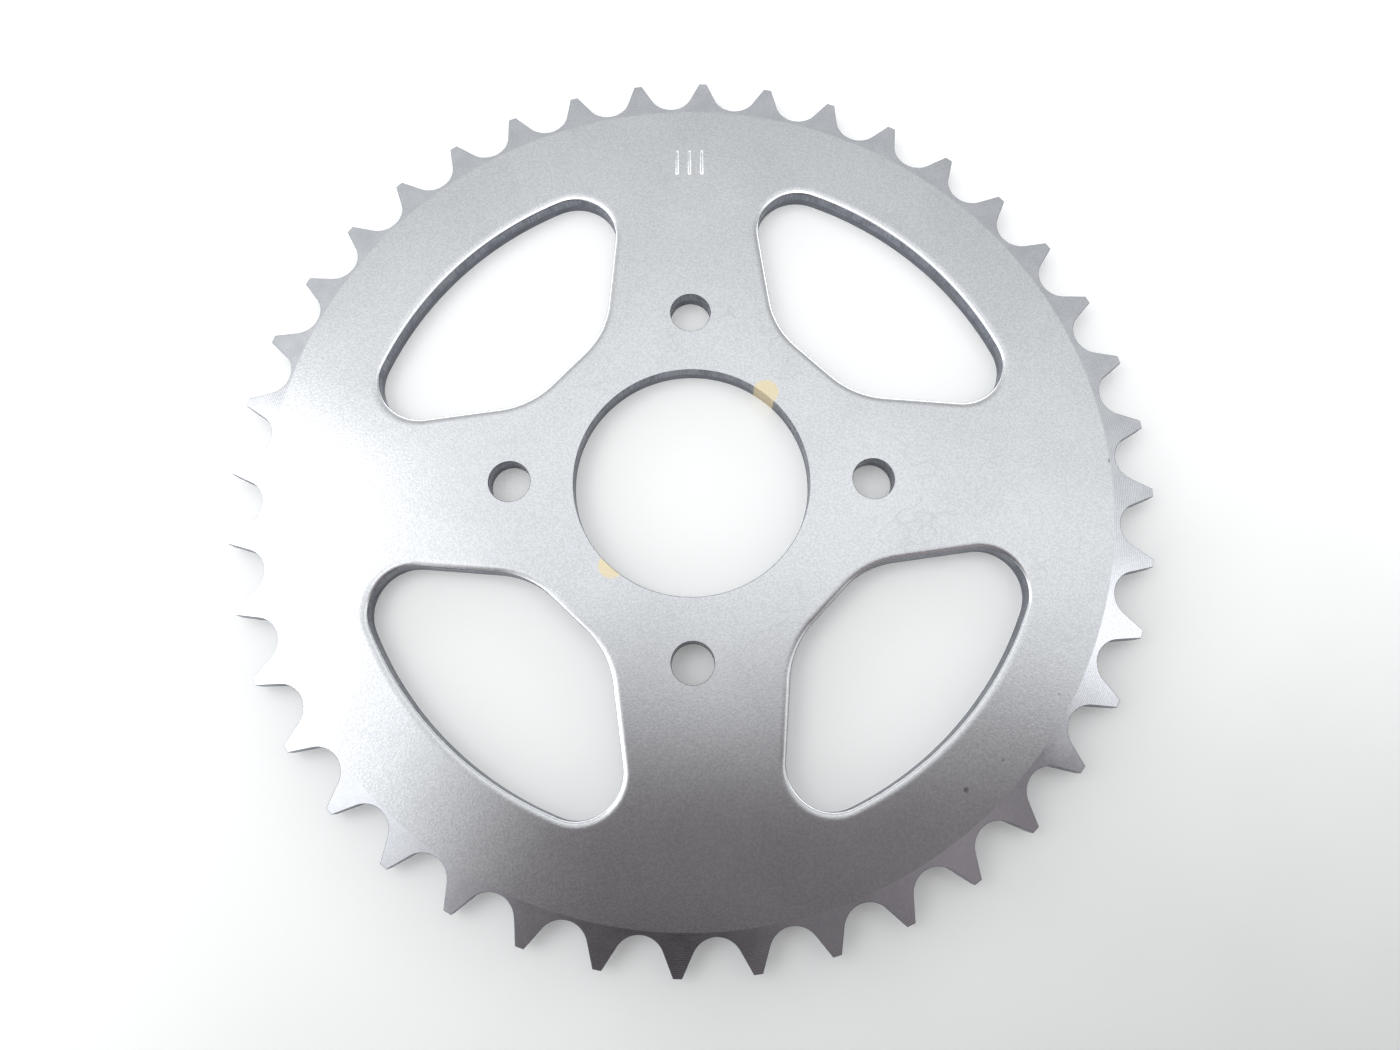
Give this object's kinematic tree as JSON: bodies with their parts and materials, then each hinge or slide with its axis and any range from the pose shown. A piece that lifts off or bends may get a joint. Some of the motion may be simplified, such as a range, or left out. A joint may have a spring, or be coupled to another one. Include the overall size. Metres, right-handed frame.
{
  "type": "sprocket",
  "caption": "Flat steel rear chain sprocket for a motorcycle, with a centring bore, a circle of bolt holes and curved lightening windows.",
  "frame": {"origin": "centre of the bore at the plate's back face", "axes": "+Z along the wheel axis towards the marked front face; one bolt hole lies on +X and one on +Y; the stamped mark lies on +Y"},
  "size_m": [0.2078, 0.2078, 0.0053],
  "materials": {
    "plated_steel": "satin bright zinc plate over a pressed steel surface"
  },
  "bodies": {
    "root": {"sprocket": "plated_steel"}
  },
  "joints": []
}
